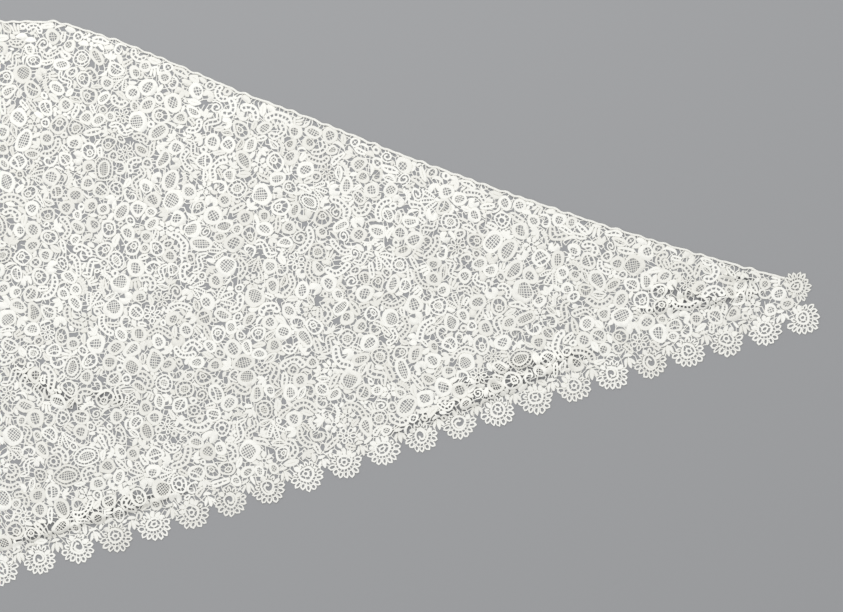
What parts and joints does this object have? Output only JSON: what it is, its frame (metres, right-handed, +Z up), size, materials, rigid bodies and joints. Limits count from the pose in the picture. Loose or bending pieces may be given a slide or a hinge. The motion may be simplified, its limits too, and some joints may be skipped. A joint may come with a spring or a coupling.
{
  "type": "lace shawl",
  "caption": "Wide triangular lace shawl lying flat, with a straight neck edge, sloping sides and a scalloped, looped lower edge.",
  "frame": {"origin": "on the floor under the middle of the laid shawl, at the centre of its box", "axes": "+X from tip to tip, towards the right tip; +Y from the lower point towards the neck edge; +Z up"},
  "size_m": [2.1428, 0.7215, 0.0069],
  "materials": {
    "lace": "matt ivory-white linen thread",
    "edging": "matt ivory-white linen thread with a firm looped edge",
    "braid": "matt ivory-white close-worked tape"
  },
  "bodies": {
    "root": {"lace_ground": "lace", "edging_right": "edging", "edging_left": "edging", "corner_scallop": "edging", "neck_braid": "braid"}
  },
  "joints": []
}
